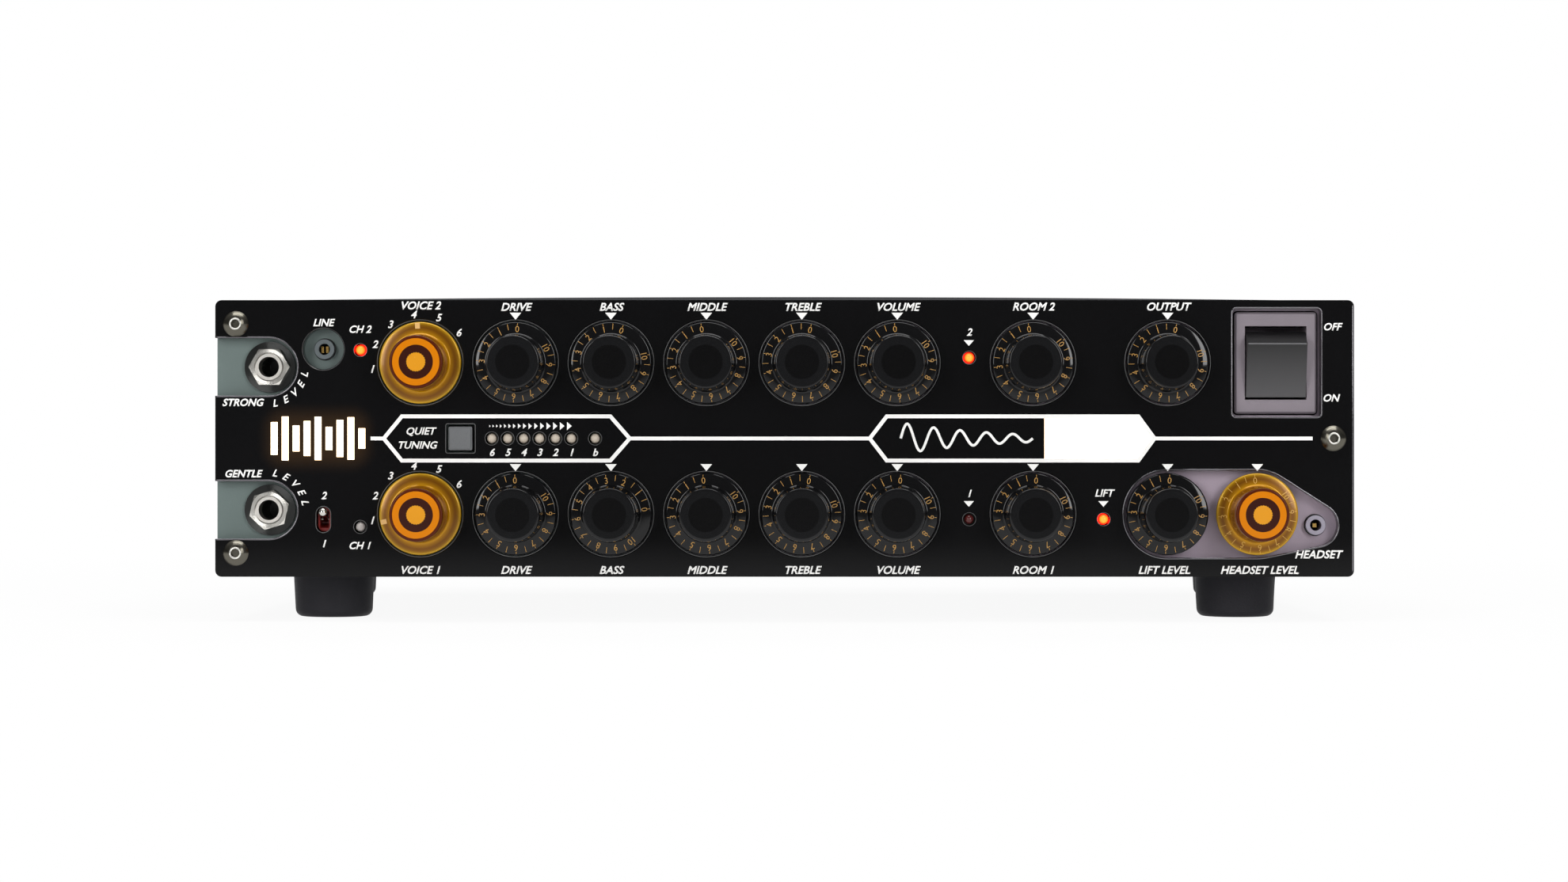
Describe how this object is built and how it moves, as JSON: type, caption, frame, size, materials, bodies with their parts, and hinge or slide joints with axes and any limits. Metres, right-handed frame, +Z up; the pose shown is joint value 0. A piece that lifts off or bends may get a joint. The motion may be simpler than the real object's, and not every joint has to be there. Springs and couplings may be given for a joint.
{
  "type": "guitar amplifier head",
  "caption": "Compact guitar amplifier head: steel case on rubber feet, thick black acrylic control panel, top-hat knobs, input jacks, lamps, power rocker and fan-cooled rear.",
  "frame": {"origin": "on the table under the middle of the whole amp", "axes": "+X to the right seen from the front, +Y from the front to the rear, +Z up"},
  "size_m": [0.358, 0.2638, 0.102],
  "materials": {
    "chassis_paint": "satin grey paint on steel sheet",
    "cover_paint": "fine dark grey paint on steel sheet",
    "panel_acrylic": "polished black acrylic",
    "lens": "milky diffuser, lit from behind",
    "white_board": "white solder mask",
    "rubber": "matt moulded rubber",
    "lamp_lit": "lit lamp",
    "lamp_off": "unlit lamp",
    "lamp_frosted": "unlit frosted lamp",
    "switch_plastic": "fine textured moulding",
    "toggle_body": "moulded",
    "board": "green solder mask",
    "core": "varnished laminations",
    "sleeve": "shrink sleeve",
    "black_alloy": "black anodised",
    "ribbon": "flat cable",
    "fan_plastic": "moulded",
    "guard_chrome": "bright plated",
    "plated_steel": "zinc plated",
    "nickel": "bright nickel",
    "black_screw": "black oxide",
    "black_plastic": "moulded",
    "brass": "turned",
    "amber_acrylic": "tinted clear acrylic, painted below",
    "black_acrylic": "clear acrylic over black",
    "button_plastic": "grained moulding"
  },
  "bodies": {
    "case": {"chassis": "chassis_paint", "top_cover": "cover_paint", "front_panel": "panel_acrylic", "panel_lenses": "lens", "backlight_boards": "white_board", "feet": "rubber", "lit_leds": "lamp_lit", "unlit_leds": "lamp_off", "tuner_leds": "lamp_frosted", "rocker_housing": "switch_plastic", "toggle_switch": "toggle_body", "preamp_board": "board", "power_transformer": "core", "capacitors": "sleeve", "heat_sink": "black_alloy", "ribbon_cable": "ribbon", "fan_frame": "fan_plastic", "fan_guard": "guard_chrome", "potentiometers": "plated_steel", "jack_nuts": "nickel", "cover_screws": "black_screw", "jack_washers": "black_plastic", "board_standoffs": "brass", "front_wall": "chassis_paint", "rear_wall": "chassis_paint", "panel_screws": "nickel", "foot_screws": "plated_steel", "selector_switches": "plated_steel", "pot_nuts": "plated_steel", "input_jacks": "black_plastic", "mini_jacks": "black_plastic", "rear_jacks": "black_plastic", "tuner_switch": "black_plastic", "power_board": "board", "mains_inlet": "black_plastic", "inlet_blades": "plated_steel", "line_out_shell": "black_plastic", "line_out_pins": "brass", "rear_screws": "plated_steel"},
    "selector_knob_2": {"selector_knob_2": "amber_acrylic"},
    "gain_knob_2": {"gain_knob_2": "black_acrylic"},
    "bass_knob_2": {"bass_knob_2": "black_acrylic"},
    "middle_knob_2": {"middle_knob_2": "black_acrylic"},
    "treble_knob_2": {"treble_knob_2": "black_acrylic"},
    "level_knob_2": {"level_knob_2": "black_acrylic"},
    "reverb_knob_2": {"reverb_knob_2": "black_acrylic"},
    "master_knob": {"master_knob": "black_acrylic"},
    "selector_knob_1": {"selector_knob_1": "amber_acrylic"},
    "gain_knob_1": {"gain_knob_1": "black_acrylic"},
    "bass_knob_1": {"bass_knob_1": "black_acrylic"},
    "middle_knob_1": {"middle_knob_1": "black_acrylic"},
    "treble_knob_1": {"treble_knob_1": "black_acrylic"},
    "level_knob_1": {"level_knob_1": "black_acrylic"},
    "reverb_knob_1": {"reverb_knob_1": "black_acrylic"},
    "boost_knob": {"boost_knob": "black_acrylic"},
    "phones_knob": {"phones_knob": "amber_acrylic"},
    "rocker_paddle": {"rocker_paddle": "switch_plastic"},
    "toggle_lever": {"toggle_lever": "nickel"},
    "tuner_button": {"tuner_button": "button_plastic"},
    "fan_rotor": {"fan_rotor": "fan_plastic"}
  },
  "joints": [
    {"name": "selector_turn_2", "type": "hinge", "parent": "case", "child": "selector_knob_2", "pos_m": [-0.1146, -0.1154, 0.0811], "axis": [0, 1, 0], "range_deg": [-90, 60]},
    {"name": "gain_turn_2", "type": "hinge", "parent": "case", "child": "gain_knob_2", "pos_m": [-0.0846, -0.1154, 0.0811], "axis": [0, 1, 0], "range_deg": [-3, 297]},
    {"name": "bass_turn_2", "type": "hinge", "parent": "case", "child": "bass_knob_2", "pos_m": [-0.0546, -0.1154, 0.0811], "axis": [0, 1, 0], "range_deg": [-18, 282]},
    {"name": "middle_turn_2", "type": "hinge", "parent": "case", "child": "middle_knob_2", "pos_m": [-0.0246, -0.1154, 0.0811], "axis": [0, 1, 0], "range_deg": [0, 300]},
    {"name": "treble_turn_2", "type": "hinge", "parent": "case", "child": "treble_knob_2", "pos_m": [0.0054, -0.1154, 0.0811], "axis": [0, 1, 0], "range_deg": [-14, 286]},
    {"name": "level_turn_2", "type": "hinge", "parent": "case", "child": "level_knob_2", "pos_m": [0.0354, -0.1154, 0.0811], "axis": [0, 1, 0], "range_deg": [0, 300]},
    {"name": "reverb_turn_2", "type": "hinge", "parent": "case", "child": "reverb_knob_2", "pos_m": [0.0781, -0.1154, 0.0811], "axis": [0, 1, 0], "range_deg": [0, 300]},
    {"name": "master_turn", "type": "hinge", "parent": "case", "child": "master_knob", "pos_m": [0.1204, -0.1154, 0.0811], "axis": [0, 1, 0], "range_deg": [-13, 287]},
    {"name": "selector_turn_1", "type": "hinge", "parent": "case", "child": "selector_knob_1", "pos_m": [-0.1146, -0.1154, 0.0335], "axis": [0, 1, 0], "range_deg": [0, 150]},
    {"name": "gain_turn_1", "type": "hinge", "parent": "case", "child": "gain_knob_1", "pos_m": [-0.0846, -0.1154, 0.0335], "axis": [0, 1, 0], "range_deg": [0, 300]},
    {"name": "bass_turn_1", "type": "hinge", "parent": "case", "child": "bass_knob_1", "pos_m": [-0.0546, -0.1154, 0.0335], "axis": [0, 1, 0], "range_deg": [-82, 218]},
    {"name": "middle_turn_1", "type": "hinge", "parent": "case", "child": "middle_knob_1", "pos_m": [-0.0246, -0.1154, 0.0335], "axis": [0, 1, 0], "range_deg": [0, 300]},
    {"name": "treble_turn_1", "type": "hinge", "parent": "case", "child": "treble_knob_1", "pos_m": [0.0054, -0.1154, 0.0335], "axis": [0, 1, 0], "range_deg": [-12, 288]},
    {"name": "level_turn_1", "type": "hinge", "parent": "case", "child": "level_knob_1", "pos_m": [0.0354, -0.1154, 0.0335], "axis": [0, 1, 0], "range_deg": [-5, 295]},
    {"name": "reverb_turn_1", "type": "hinge", "parent": "case", "child": "reverb_knob_1", "pos_m": [0.0781, -0.1154, 0.0335], "axis": [0, 1, 0], "range_deg": [-5, 295]},
    {"name": "boost_turn", "type": "hinge", "parent": "case", "child": "boost_knob", "pos_m": [0.1204, -0.1154, 0.0335], "axis": [0, 1, 0], "range_deg": [-3, 297]},
    {"name": "phones_turn", "type": "hinge", "parent": "case", "child": "phones_knob", "pos_m": [0.1486, -0.1154, 0.0335], "axis": [0, 1, 0], "range_deg": [0, 300]},
    {"name": "power_rock", "type": "hinge", "parent": "case", "child": "rocker_paddle", "pos_m": [0.1547, -0.1081, 0.0811], "axis": [1, 0, 0], "range_deg": [-30, 0]},
    {"name": "toggle_tip", "type": "hinge", "parent": "case", "child": "toggle_lever", "pos_m": [-0.145, -0.1091, 0.0318], "axis": [1, 0, 0], "range_deg": [0, 28]},
    {"name": "tuner_push", "type": "slide", "parent": "case", "child": "tuner_button", "axis": [0, 1, 0], "range_m": [0, 0.002], "stiffness_N_per_m": 400, "springref_m": -0.001},
    {"name": "fan_spin", "type": "hinge", "parent": "case", "child": "fan_rotor", "pos_m": [0.077, 0.1189, 0.0573], "axis": [0, 1, 0], "continuous": true}
  ]
}
